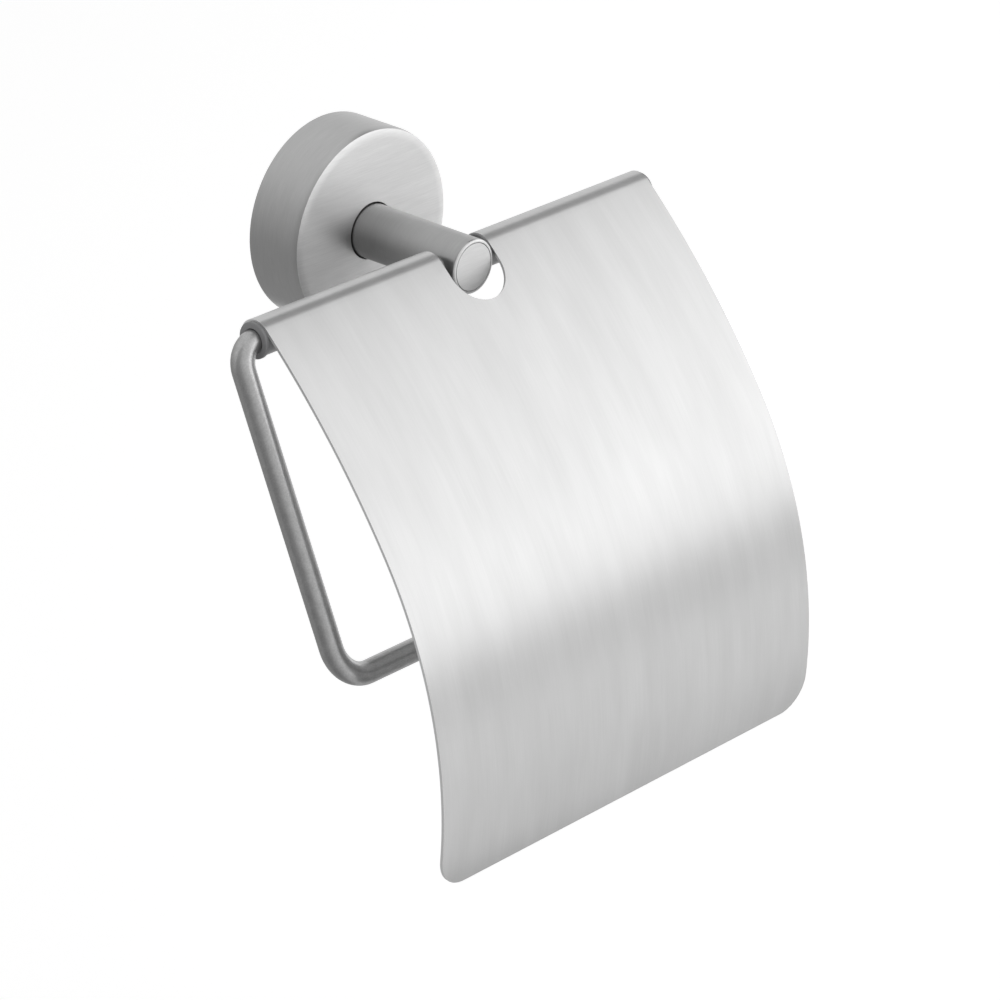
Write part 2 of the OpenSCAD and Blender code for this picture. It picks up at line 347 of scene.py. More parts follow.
# Rod, tumbled after bending: a fine even grain instead of strokes
GROUND = SteelFinish("tumbled_stainless_rod", "#AAAAAA", 0.32, cloud_mm=(2.2, 2.2), stroke_contrast=0.11,
                     cloud_contrast=0.06, roughness_spread=0.04, bump_mm=0.009,
                     coordinates=Coordinates.OBJECT)
# Steel out of sight, plain from the lathe
PLAIN = SteelFinish("plain_turned_steel", "#9A9B9D", 0.45, stroke_mm=(0.6, 0.6), cloud_mm=(5.0, 5.0),
                    stroke_contrast=0.06, cloud_contrast=0.05, roughness_spread=0.06, bump_mm=0.004,
                    coordinates=Coordinates.OBJECT)
# Screws and washer, cold-formed and passivated
SCREW = replace(PLAIN, name="passivated_screw_steel", colour="#77797C", roughness=0.38,
                stroke_mm=(0.4, 0.4), cloud_mm=(2.0, 2.0))
# Bushes, moulded in grey acetal
ACETAL = PlasticFinish("moulded_grey_acetal", "#8C8C8D")


# ---------------- mesh helpers


def rounded_corners(corners: Sequence[tuple[float, float, float]], steps: int = 6,
                    support: float = 0.05) -> list[Point2]:
    """Round the corners of a closed outline, with a support point beside each arc.

    Args:
        corners: Points with a radius each. A radius of 0 keeps the corner sharp.
        steps: Segments of one arc.
        support: Distance of a support point from the arc's end.

    Returns:
        The outline's points in order.
    """
    outline: list[Point2] = []
    for i, (x, y, radius) in enumerate(corners):
        if radius <= 0:
            outline.append((x, y))
            continue
        here = Vector((x, y))
        before = Vector(corners[i - 1][:2]) - here
        after = Vector(corners[(i + 1) % len(corners)][:2]) - here
        half = before.angle(after) / 2
        reach = radius / math.tan(half)
        before.normalize()
        after.normalize()
        start, end = here + before * reach, here + after * reach
        centre = here + (before + after).normalized() * (radius / math.sin(half))
        first = start - centre
        turn = first.angle_signed(end - centre)
        arc = (centre + Matrix.Rotation(-turn * k / steps, 2) @ first for k in range(steps + 1))
        outline += [tuple(place) for place in (start + before * support, *arc, end + after * support)]
    return outline


def finished(name: str, mesh: Mesh, materials: Iterable[Finish], body: str,
             nodes: Sequence[str]) -> Piece:
    """Turn a built mesh into a finished piece that rides on its body.

    Args:
        name: The piece's name.
        mesh: Its faces, in metres in the frame.
        materials: Its finishes, in the order of the faces' material indices.
        body: The CAD body that it rides on.
        nodes: The CAD nodes that it stands for.

    Returns:
        The piece.
    """
    for face in mesh.faces:
        face.smooth = True
    data = stored(name, mesh)
    for finish in materials:
        data.materials.append(finish.material())
    piece = linked(name, data)
    ride_as(piece, body, nodes)
    return piece


def ride_as(piece: Piece, body: str, nodes: Sequence[str]) -> None:
    """Tie a piece to the frame, and report it.

    Args:
        piece: The piece.
        body: The CAD body that it rides on.
        nodes: The CAD nodes that it stands for.
    """
    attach(piece, body)
    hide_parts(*nodes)
    LOG.info("%s: %d faces on %s, for %s", piece.name, len(piece.data.polygons), body, ", ".join(nodes))


class Axis(Enum):
    """An axis that pieces are turned on."""

    POST = "along -Y from the wall"
    HINGE = "along +X through the crossbar"


@dataclass
class Turned:
    """A piece turned on the lathe: a closed outline of (along, radius) spun round an axis.

    flat_slope_deg is how far a face may lean from square to the axis and still take straight strokes.
    """

    axis: Axis
    segments: int = 144
    flat_slope_deg: float = 26.0

    def place(self, along: float, radius: float, angle: float) -> Vector:
        """Place a point of the outline.

        Args:
            along: Its place along the axis.
            radius: Its distance from the axis.
            angle: How far it is turned, in radians.

        Returns:
            The place in the frame, in metres.
        """
        aside, up = radius * math.cos(angle), radius * math.sin(angle)
        if self.axis is Axis.POST:
            return Vector((aside, -along, up)) * MM
        return Vector((along, -HINGE_FORWARD + aside, up)) * MM

    def spin(self, outline: Sequence[Point2], flat_strokes: bool = False) -> Mesh:
        """Spin an outline into a closed mesh with its stroke map.

        Args:
            outline: Closed outline of (along, radius), where points at radius 0 lie on the axis.
            flat_strokes: Strokes run straight along X on the flat faces, which then have material index 1.

        Returns:
            The mesh.
        """
        mesh = bmesh.new()
        strokes = mesh.loops.layers.uv.new(STROKES)
        rings = []
        for along, radius in outline:
            if radius < ON_AXIS:
                centre = mesh.verts.new(self.place(along, 0, 0))
                rings.append([centre] * self.segments)
            else:
                rings.append([mesh.verts.new(self.place(along, radius, math.tau * k / self.segments))
                              for k in range(self.segments)])
        lengths = [0.0]
        for (a0, r0), (a1, r1) in zip(outline, [*outline[1:], outline[0]]):
            lengths.append(lengths[-1] + math.hypot(a1 - a0, r1 - r0))
        for i, ring in enumerate(rings):
            following = rings[(i + 1) % len(rings)]
            (a0, r0), (a1, r1) = outline[i], outline[(i + 1) % len(outline)]
            widest = max(r0, r1)
            if widest < ON_AXIS:
                continue
            slope = math.atan2(abs(a1 - a0), abs(r1 - r0))
            flat = flat_strokes and slope < math.radians(self.flat_slope_deg)
            for k in range(self.segments):
                n = (k + 1) % self.segments
                corners = [(ring[k], lengths[i], k), (ring[n], lengths[i], k + 1),
                           (following[n], lengths[i + 1], k + 1), (following[k], lengths[i + 1], k)]
                unique: list = []
                for corner in corners:
                    if all(corner[0] is not other[0] for other in unique):
                        unique.append(corner)
                face = mesh.faces.new([vert for vert, _, _ in unique])
                face.material_index = int(flat)
                for loop, (vert, length, step) in zip(face.loops, unique):
                    if flat:
                        loop[strokes].uv = (vert.co.z, vert.co.x)
                    else:
                        loop[strokes].uv = (length * MM, widest * math.tau * step / self.segments * MM)
        bmesh.ops.recalc_face_normals(mesh, faces=mesh.faces)
        return mesh


def drill(mesh: Mesh, start: Vector, end: Vector, radius: float) -> Mesh:
    """Cut a round hole.

    Args:
        mesh: A closed mesh, which is used up.
        start: One end of the drill's axis, in metres.
        end: Its other end.
        radius: The hole's radius in millimetres.

    Returns:
        The mesh with the hole.
    """
    tool = bmesh.new()
    turn = (end - start).to_track_quat("Z", "Y").to_matrix().to_4x4()
    bmesh.ops.create_cone(tool, cap_ends=True, segments=64, radius1=radius * MM, radius2=radius * MM,
                          depth=(end - start).length, matrix=Matrix.Translation((start + end) / 2) @ turn)
    blank, cutter = linked("blank", stored("blank", mesh)), linked("drill", stored("drill", tool))
    cut = blank.modifiers.new("hole", "BOOLEAN")
    cut.object, cut.operation, cut.solver = cutter, "DIFFERENCE", "EXACT"
    bpy.context.view_layer.update()
    made = bmesh.new()
    made.from_object(blank, bpy.context.evaluated_depsgraph_get())
    for thing in (blank, cutter):
        data = thing.data
        bpy.data.objects.remove(thing)
        bpy.data.meshes.remove(data)
    bmesh.ops.remove_doubles(made, verts=made.verts, dist=WELD)
    for edge in made.edges:
        if len(edge.link_faces) == 2 and edge.calc_face_angle(0) > math.radians(HOLE_SHARP_DEG):
            edge.smooth = False
    return made


# ---------------- the holder's pieces


@dataclass
class Rosette:
    """The round cup over the wall plate: a rounded shoulder, a crease, a soft dome and the post's hole."""

    wall_radius: float = 27.0
    face_radius: float = 26.95
    depth: float = 16.9
    wall: float = 1.8
    face: float = 1.5
    shoulder_radius: float = 7.0
    shoulder_deg: float = 72.0
    shoulder_steps: int = 10
    dome_radius: float = 10.0
    dome_deg: float = 14.0
    dome_steps: int = 12
    hole_radius: float = 7.55
    rim_radius: float = 0.12
    grub_radius: float = 1.55
    grub_forward: float = 2.5
    flat_slope_deg: float = 50.0

    def front(self) -> list[Point2]:
        """Lay out the shoulder, the crease and the dome.

        Returns:
            Their points as (forward, radius), from the wall to the edge of the flat face.
        """
        crease, turn = math.radians(self.shoulder_deg), math.radians(self.dome_deg)
        crease_depth = self.depth - self.dome_radius * (1 - math.cos(turn))
        crease_radius = self.face_radius - self.shoulder_radius * (1 - math.sin(crease))
        shoulder = [(crease_depth + self.shoulder_radius * (math.cos(angle) - math.cos(crease)),
                     self.face_radius - self.shoulder_radius * (1 - math.sin(angle)))
                    for angle in (math.pi / 2 + (crease - math.pi / 2) * k / self.shoulder_steps
                                  for k in range(self.shoulder_steps + 1))]
        dome = [(self.depth - self.dome_radius * (1 - math.cos(angle)),
                 crease_radius - self.dome_radius * (math.sin(turn) - math.sin(angle)))
                for angle in (turn * (1 - k / self.dome_steps) for k in range(1, self.dome_steps + 1))]
        return [*shoulder, *dome]

    def build(self) -> Piece:
        """Spin the cup, drill the grub screw's hole and finish it.

        Returns:
            The cup.
        """
        inner, inside = self.face_radius - self.wall, self.depth - self.face
        front = self.front()
        outline = [*rounded_corners([(0.0, inner, 0.0), (0.0, self.wall_radius, self.rim_radius),
                                     (*front[0], 0.0)]), *front[1:],
                   *rounded_corners([(*front[-1], 0.0), (self.depth, self.hole_radius, self.rim_radius),
                                     (inside, self.hole_radius, 0.0)])[1:], (inside, inner)]
        mesh = Turned(Axis.POST, flat_slope_deg=self.flat_slope_deg).spin(outline, flat_strokes=True)
        low = Vector((0.0, -self.grub_forward, -self.wall_radius - DRILL_PAST)) * MM
        high = Vector((0.0, -self.grub_forward, -inner + DRILL_PAST)) * MM
        mesh = drill(mesh, low, high, self.grub_radius)
        # The steeper faces take the turned finish, whose darker colour paints shade on them; the flatter ones
        # take the brushed face finish.
        return finished("rosette_cup", mesh, (TURNED_SHADED, ROSETTE_FACE), "holder", ["rosette"])


@dataclass
class Post:
    """The round bar from the wall plate, its recessed front end and the disc in it."""

    radius: float = 7.2
    back: float = 10.0
    front: float = 52.5
    back_edge: float = 0.2
    front_edge: float = 0.7
    recess_edge: float = 0.06
    rim: float = 0.85
    groove: float = 0.12
    cap: float = 1.4
    bore_radius: float = 3.05
    bore_end: float = 19.75
    rod_hole_radius: float = 3.05
    grub_hole_radius: float = 2.05
    flat_slope_deg: float = 64.0

    @property
    def recess(self) -> float:
        """Radius of the recess in the front end."""
        return self.radius - self.rim

    @property
    def shoulder(self) -> float:
        """Distance of the recess's floor from the wall."""
        return self.front - self.cap

    def build_bar(self) -> Piece:
        """Spin the bar, drill it for the rod and its grub screw, and finish it.

        Returns:
            The bar.
        """
        outline = rounded_corners([
            (self.back, self.bore_radius, 0.0), (self.back, self.radius, self.back_edge),
            (self.front, self.radius, self.front_edge), (self.front, self.recess, self.recess_edge),
            (self.shoulder, self.recess, 0.0), (self.shoulder, 0.0, 0.0), (self.bore_end, 0.0, 0.0),
            (self.bore_end, self.bore_radius, 0.0)])
        mesh = Turned(Axis.POST, flat_slope_deg=self.flat_slope_deg).spin(outline, flat_strokes=True)
        past = self.radius + DRILL_PAST
        across, down = Vector((past, 0, 0)) * MM, Vector((0, 0, past)) * MM
        middle = Vector((0, -HINGE_FORWARD, 0)) * MM
        mesh = drill(mesh, middle - across, middle + across, self.rod_hole_radius)
        mesh = drill(mesh, middle - down, middle, self.grub_hole_radius)
        # The bar's side takes a still darker colour that paints shade on it; its front rim takes the brighter
        # cap finish.
        return finished("post_bar", mesh, (POST_BAR_SHADED, CAP), "holder", ["post"])

    def build_cap(self) -> Piece:
        """Spin the disc in the front end and finish it.

        Returns:
            The disc.
        """
        radius = self.recess - self.groove
        disc = rounded_corners([(self.shoulder, 0.0, 0.0), (self.shoulder, radius, 0.0),
                                (self.front, radius, self.groove), (self.front, 0.0, 0.0)])
        mesh = Turned(Axis.POST).spin(disc, flat_strokes=True)
        # The disc's side takes the turned finish, whose darker colour paints shade on it.
        return finished("end_cap_disc", mesh, (TURNED_SHADED, CAP), "holder", ["end_cap"])

    def build(self) -> None:
        """Build the bar and the disc in it."""
        self.build_bar()
        self.build_cap()


@dataclass
class RollRod:
    """The bent rod: crossbar, arm and roll bar, swept along its path with Geometry Nodes."""

    radius: float = 3.0
    crossbar_end: float = 70.05
    arm_x: float = -76.55
    arm_length: float = 85.5
    tilt_deg: float = 24.0
    upper_bend: float = 6.4
    lower_bend: float = 9.0
    bar_end: float = 56.45
    bevel: float = 0.6
    bevel_steps: int = 4
    bend_steps: int = 24
    section_steps: int = 72
    sharp_deg: float = 60.0
    corner_names: tuple[str, ...] = ("Crossbar end", "Upper corner", "Lower corner", "Roll bar end")

    def tree(self) -> Tree:
        """Build the nodes that fillet a four-point path and sweep a round section along it.

        Returns:
            The node tree.
        """
        tree = bpy.data.node_groups.new("bent_rod", "GeometryNodeTree")
        inputs = {"Section radius": self.radius, "Upper bend": self.upper_bend, "Lower bend": self.lower_bend}
        for name, value in inputs.items():
            socket = tree.interface.new_socket(name, in_out="INPUT", socket_type="NodeSocketFloat")
            socket.default_value = value * MM
        for name in self.corner_names:
            tree.interface.new_socket(name, in_out="INPUT", socket_type="NodeSocketVector")
        tree.interface.new_socket("Finish", in_out="INPUT", socket_type="NodeSocketMaterial")
        tree.interface.new_socket("Geometry", in_out="OUTPUT", socket_type="NodeSocketGeometry")
        given = add(tree, "NodeGroupInput").outputs
        path = add(tree, "GeometryNodeCurvePrimitiveQuadrilateral", mode="POINTS")
        points = (socket for socket in path.inputs if socket.name.startswith("Point"))
        for name, socket in zip(self.corner_names, points):
            tree.links.new(given[name], socket)
        opened = add(tree, "GeometryNodeSetSplineCyclic", {"Geometry": path.outputs[0], "Cyclic": False})
        index = add(tree, "GeometryNodeInputIndex").outputs[0]
        first = add(tree, "FunctionNodeCompare", {2: index, 3: 1}, data_type="INT", operation="LESS_EQUAL")
        radius = add(tree, "GeometryNodeSwitch", {"Switch": first.outputs[0], "False": given["Lower bend"],
                                                  "True": given["Upper bend"]}, input_type="FLOAT")
        bent = add(tree, "GeometryNodeFilletCurve", {"Curve": opened.outputs[0], "Radius": radius.outputs[0],
                                                     "Count": self.bend_steps}, mode="POLY")
        section = add(tree, "GeometryNodeCurvePrimitiveCircle", {"Resolution": self.section_steps,
                                                                 "Radius": given["Section radius"]})
        swept = add(tree, "GeometryNodeCurveToMesh", {"Curve": bent.outputs[0],
                                                      "Profile Curve": section.outputs[0], "Fill Caps": True})
        realised = add(tree, "GeometryNodeRealizeInstances", {0: swept.outputs[0]})
        dressed = add(tree, "GeometryNodeSetMaterial", {"Geometry": realised.outputs[0],
                                                        "Material": given["Finish"]})
        add(tree, "NodeGroupOutput", {"Geometry": dressed.outputs[0]})
        return tree

    def point(self, x: float, down: float) -> Vector:
        """Give a point of the rod's tilted plane, at x and at a distance down the arm, in metres."""
        tilt = math.radians(self.tilt_deg)
        return Vector((x, -HINGE_FORWARD - down * math.sin(tilt), -down * math.cos(tilt))) * MM

    def build(self) -> Piece:
        """Sweep the rod, bevel its ends and bake it to a plain mesh.

        Returns:
            The rod.
        """
        tree = self.tree()
        corners = (self.point(self.crossbar_end, 0), self.point(self.arm_x, 0),
                   self.point(self.arm_x, self.arm_length), self.point(self.bar_end, self.arm_length))
        values = {**dict(zip(self.corner_names, corners)), "Finish": GROUND.material()}
        maker = linked("rod_path", bpy.data.meshes.new("rod_path"))
        sweep = maker.modifiers.new("sweep", "NODES")
        sweep.node_group = tree
        for item in tree.interface.items_tree:
            if item.in_out == "INPUT" and item.name in values:
                sweep[item.identifier] = values[item.name]
        ends = maker.modifiers.new("ends", "BEVEL")
        ends.width, ends.segments, ends.limit_method = self.bevel * MM, self.bevel_steps, "ANGLE"
        ends.angle_limit, ends.harden_normals = math.radians(self.sharp_deg), True
        bpy.context.view_layer.update()
        baked = bpy.data.meshes.new_from_object(maker.evaluated_get(bpy.context.evaluated_depsgraph_get()))
        bpy.data.objects.remove(maker)
        for face in baked.polygons:
            face.use_smooth = True
        rod = linked("bent_roll_rod", baked)
        ride_as(rod, "holder", ["roll_rod"])
        return rod


@dataclass
class Cover:
    """The curved sheet: a curl round the bushes, an upper bend and a tighter lower bend."""

    width: float = 138.5
    slide: float = 0.8
    thickness: float = 0.8
    curl_radius: float = 5.2
    curl_wrap_deg: float = 218.0
    lead_deg: float = 47.2
    upper_radius: float = 246.0
    upper_turn_deg: float = 14.5
    lower_radius: float = 121.0
    lower_turn_deg: float = 42.0
    notch_radius: float = 8.7
    notch_depth: float = 13.9
    corner_radius: float = 9.0
    edge: float = 0.2
    edge_steps: int = 2
    sharp_deg: float = 50.0
    columns: int = 48
    curl_rows: int = 52
    notch_side_rows: int = 4
    notch_round_rows: int = 16
    panel_rows: int = 60
    corner_rows: int = 14

    @property
    def upper_length(self) -> float:
        """Length of the upper bend along the outer face."""
        return self.upper_radius * math.radians(self.upper_turn_deg)

    @property
    def length(self) -> float:
        """Length of both bends along the outer face."""
        return self.upper_length + self.lower_radius * math.radians(self.lower_turn_deg)

    def surface(self, run: float) -> tuple[Vector, Vector]:
        """Give a point of the outer face in side view, and the direction that it faces.

        Args:
            run: Distance along the outer face from the curl's seam, negative round the curl.

        Returns:
            The point and the outward direction, each as (forward, up).
        """
        lead = math.radians(self.lead_deg)

        def facing(angle: float) -> Vector:
            """Give the direction at an angle, as (forward, up)."""
            return Vector((math.cos(angle), math.sin(angle)))

        hinge = Vector((HINGE_FORWARD, 0.0))
        if run <= 0:
            angle = lead - run / self.curl_radius
            return hinge + facing(angle) * self.curl_radius, facing(angle)
        upper_axis = hinge + facing(lead) * (self.curl_radius - self.upper_radius)
        if run <= self.upper_length:
            angle = lead - run / self.upper_radius
            return upper_axis + facing(angle) * self.upper_radius, facing(angle)
        seam = lead - math.radians(self.upper_turn_deg)
        lower_axis = upper_axis + facing(seam) * (self.upper_radius - self.lower_radius)
        angle = seam - (run - self.upper_length) / self.lower_radius
        return lower_axis + facing(angle) * self.lower_radius, facing(angle)

    def rows(self) -> list[float]:
        """List the runs at which the sheet has a row of points, close together at the notch and the corners.

        Returns:
            The runs in order, from the free end of the curl to the lower edge.
        """

        def even(start: float, end: float, count: int) -> set[float]:
            """Space runs evenly from start, which is left out, to end."""
            return {start + (end - start) * k / count for k in range(1, count + 1)}

        def rounded(start: float, radius: float, count: int) -> set[float]:
            """Space runs evenly round a quarter of a circle that starts there."""
            return {start + radius * math.sin(math.pi / 2 * k / count) for k in range(1, count + 1)}

        curl = self.curl_radius * math.radians(self.curl_wrap_deg)
        centre = self.notch_depth - self.notch_radius
        corner = self.length - self.corner_radius
        return sorted({0.0} | even(0.0, -curl, self.curl_rows) | even(0.0, centre, self.notch_side_rows)
                      | rounded(centre, self.notch_radius, self.notch_round_rows)
                      | even(self.notch_depth, corner, self.panel_rows)
                      | rounded(corner, self.corner_radius, self.corner_rows))

    def halves(self, run: float) -> Point2:
        """Give half of the notch's width and half of the sheet's.

        Args:
            run: Distance along the outer face from the curl's seam.

        Returns:
            The notch's, which is 0 below it, and the sheet's, which shrinks at the rounded corners.
        """
        in_notch = max(0.0, run - (self.notch_depth - self.notch_radius))
        in_corner = max(0.0, run - (self.length - self.corner_radius))
        notch = math.sqrt(max(0.0, self.notch_radius ** 2 - in_notch ** 2))
        round_off = self.corner_radius - math.sqrt(max(0.0, self.corner_radius ** 2 - in_corner ** 2))
        return notch, self.width / 2 - round_off

    def lay_out(self, mesh: Mesh) -> tuple[list, dict]:
        """Add the bent sheet's points, row by row.

        Args:
            mesh: The mesh that takes them.

        Returns:
            The rows, each with its outer and its inner skin, each of a left and a right side. Then the place
            of each point on the flat sheet, moved by the thickness for the inner skin, so that the two skins
            don't show the same strokes.
        """
        rows, flat = [], {}
        for run in self.rows():
            (forward, up), (face_forward, face_up) = self.surface(run)
            notch, half = self.halves(run)
            skins = []
            for skin in (0.0, self.thickness):
                sides: list = []
                for start in (-half, notch):
                    points = []
                    for k in range(self.columns + 1):
                        if sides and k == 0 and notch < ON_AXIS:
                            points.append(sides[0][-1])
                            continue
                        across = start + (half - notch) * (k / self.columns)
                        place = Vector((across - self.slide, -forward + face_forward * skin,
                                        up - face_up * skin)) * MM
                        points.append(mesh.verts.new(place))
                        flat[points[-1]] = (across + skin, run + skin)
                    sides.append(points)
                skins.append(sides)
            rows.append(skins)
        return rows, flat

    def close(self, mesh: Mesh, rows: list) -> None:
        """Add the faces of both skins and of the cut edge round them, which has material index 1.

        Args:
            mesh: The mesh with the points.
            rows: The rows that lay_out() returned.
        """
        partner = {}
        for outer, inner in rows:
            for points_out, points_in in zip(outer, inner):
                partner.update(zip(points_out, points_in))
        for (above, _), (below, _) in zip(rows, rows[1:]):
            for upper, lower in zip(above, below):
                for k in range(self.columns):
                    corners = (upper[k], upper[k + 1], lower[k + 1], lower[k])
                    ring = [vert for i, vert in enumerate(corners) if vert not in corners[:i]]
                    mesh.faces.new(ring)
                    mesh.faces.new([partner[vert] for vert in reversed(ring)])
        rim = [edge.verts for edge in mesh.edges
               if len(edge.link_faces) == 1 and all(vert in partner for vert in edge.verts)]
        for start, end in rim:
            mesh.faces.new((end, start, partner[start], partner[end])).material_index = 1

    def build(self) -> Piece:
        """Lay the sheet out, close it, map its strokes and break its edges.

        Returns:
            The cover.
        """
        mesh = bmesh.new()
        strokes = mesh.loops.layers.uv.new(STROKES)
        rows, flat = self.lay_out(mesh)
        self.close(mesh, rows)
        for face in mesh.faces:
            for loop in face.loops:
                across, run = flat[loop.vert]
                loop[strokes].uv = (across * MM, run * MM)
        bmesh.ops.recalc_face_normals(mesh, faces=mesh.faces)
        # The cut edge's finish has a brighter colour that paints a highlight along it.
        cover = finished("curved_cover", mesh, (SHEET, SHEET_EDGE_HIGHLIGHT), "cover", ["cover"])
        broken = cover.modifiers.new("broken edges", "BEVEL")
        broken.width, broken.segments, broken.limit_method = self.edge * MM, self.edge_steps, "ANGLE"
        broken.angle_limit, broken.harden_normals = math.radians(self.sharp_deg), True
        return cover


@dataclass
class Bush:
    """A flanged bush in an end of the curl or at the notch.

    at is the x of the cut end that it sits in. sign is +1 where the barrel runs to the right of the flange.
    """

    name: str
    node: str
    at: float
    sign: int
    flange_radius: float
    flange: float
    bevel: float
    bore: float = 3.05
    barrel: float = 4.35
    length: float = 9.0
    edge: float = 0.25
    barrel_edge: float = 0.2
    fine_edge: float = 0.05

    def build(self) -> Piece:
        """Spin the bush and finish it.

        Returns:
            The bush.
        """
        out = -self.flange
        corners = [
            (out + self.bevel, self.bore, 0.0), (out, self.bore + self.bevel, self.fine_edge),
            (out, self.flange_radius, self.edge), (0.0, self.flange_radius, self.fine_edge),
            (0.0, self.barrel, 0.0), (self.length, self.barrel, self.barrel_edge),
            (self.length, self.bore, 0.0)]
        outline = [(self.at + self.sign * along, radius)
                   for along, radius in rounded_corners(corners, steps=4, support=0.02)]
        mesh = Turned(Axis.HINGE, segments=96).spin(outline)
        return finished(self.name, mesh, (ACETAL,), "cover", [self.node])


@dataclass
class CarriedNode:
    """A CAD node whose shape is right: its triangles are joined, smoothed by angle and dressed."""

    node: str
    name: str
    finish: Finish
    slot: str
    smooth_deg: float = 32.0

    def build(self, frame: dict) -> Piece:
        """Join and dress a copy of the node.


        Returns:
            The piece.
        """
        mesh = bmesh.new()
        mesh.from_mesh(frame["nodes"][self.node].data)
        bmesh.ops.remove_doubles(mesh, verts=mesh.verts, dist=WELD)
        for edge in mesh.edges:
            if len(edge.link_faces) == 2:
                edge.smooth = edge.calc_face_angle(0) < math.radians(self.smooth_deg)
        for face in mesh.faces:
            face.material_index = 0
        return finished(self.name, mesh, (self.finish,), "holder", [self.node])


# ---------------- the studio

SHARE = "share"
LEAST_RISE = 0.01  # a level screen counts as this high when its tones are graded
NEAR, FAR = 0.02, 1.6  # the radii at which screens start and end
LOW, HIGH = -0.415, 1.2  # just above the floor, and the top of the upright screens


def towards(azimuth_deg: float, elevation_deg: float) -> Vector:
    """Give a direction.

    Args:
        azimuth_deg: Its angle from the front (-Y) towards the right (+X).
        elevation_deg: Its angle above the floor.

    Returns:
        The direction, of length 1.
    """
    azimuth, elevation = math.radians(azimuth_deg), math.radians(elevation_deg)
    return Vector((math.sin(azimuth) * math.cos(elevation), -math.cos(azimuth) * math.cos(elevation),
                   math.sin(elevation)))


def seen_directly(tree: Tree) -> Socket:
    """Add a factor that tells what the camera sees, also in a gloss or through glass, from falling light.

    Args:
        tree: The node tree.

    Returns:
        1 for a ray that is seen, 0 for any other.
    """
    path = add(tree, "ShaderNodeLightPath").outputs
    seen = path["Is Camera Ray"]
    for ray in ("Is Glossy Ray", "Is Transmission Ray"):
        seen = add(tree, "ShaderNodeMath", {0: seen, 1: path[ray]}, operation="MAXIMUM").outputs[0]
    return seen


@dataclass(frozen=True)
class Softbox:
    """A large soft lamp that faces the object. Its radiance comes on top of the background's white, 1."""

    name: str
    azimuth_deg: float
    elevation_deg: float
    distance: float
    size: Point2
    radiance: float


@dataclass(frozen=True)
class Card:
    """A graded grey screen outside the view, which the metal reflects.

    It is a profile of (radius, height) in metres, swept through a range of azimuths round the object. Its
    tones are those of the four corners: low and high at the first azimuth, low and high at the last.
    """

    name: str
    azimuths_deg: Point2
    profile: tuple[Point2, ...]
    tones: tuple[str, str, str, str]
    steps: int = 48

    def material(self) -> bpy.types.Material:
        """Build the graded light that it gives off.

        Returns:
            The material.
        """
        paint, tree = blank_material(self.name)
        place = add(tree, "ShaderNodeUVMap", uv_map=SHARE).outputs["UV"]
        share = add(tree, "ShaderNodeSeparateXYZ", {0: place}).outputs
        first, last = (add(tree, "ShaderNodeMix", {0: share["Y"], 6: linear(low), 7: linear(high)},
                           data_type="RGBA").outputs[2] for low, high in (self.tones[:2], self.tones[2:]))
        tone = add(tree, "ShaderNodeMix", {0: share["X"], 6: first, 7: last}, data_type="RGBA").outputs[2]
        glow = add(tree, "ShaderNodeEmission", {"Color": tone, "Strength": 1.0})
        add(tree, "ShaderNodeOutputMaterial", {"Surface": glow.outputs[0]})
        return paint

    def build(self, centre: Vector) -> None:
        """Sweep the screen. Only reflections see it.

        Args:
            centre: The point of the floor plan that it stands round.
        """
        mesh = bmesh.new()
        shares = mesh.loops.layers.uv.new(SHARE)
        start, end = self.azimuths_deg
        bottom = self.profile[0][1]
        rise = max(self.profile[-1][1] - bottom, LEAST_RISE)
        grid = []
        for k in range(self.steps + 1):
            out = towards(start + (end - start) * k / self.steps, 0.0)
            grid.append([(mesh.verts.new(centre + out * radius + Vector((0, 0, height))),
                          (k / self.steps, (height - bottom) / rise)) for radius, height in self.profile])
        for before, after in zip(grid, grid[1:]):
            for k in range(len(self.profile) - 1):
                ring = (before[k], before[k + 1], after[k + 1], after[k])
                face = mesh.faces.new([vert for vert, _ in ring])
                for loop, (_, share) in zip(face.loops, ring):
                    loop[shares].uv = share
        data = stored(self.name, mesh)
        data.materials.append(self.material())
        screen = linked(self.name, data)
        screen.visible_camera = screen.visible_diffuse = screen.visible_shadow = False


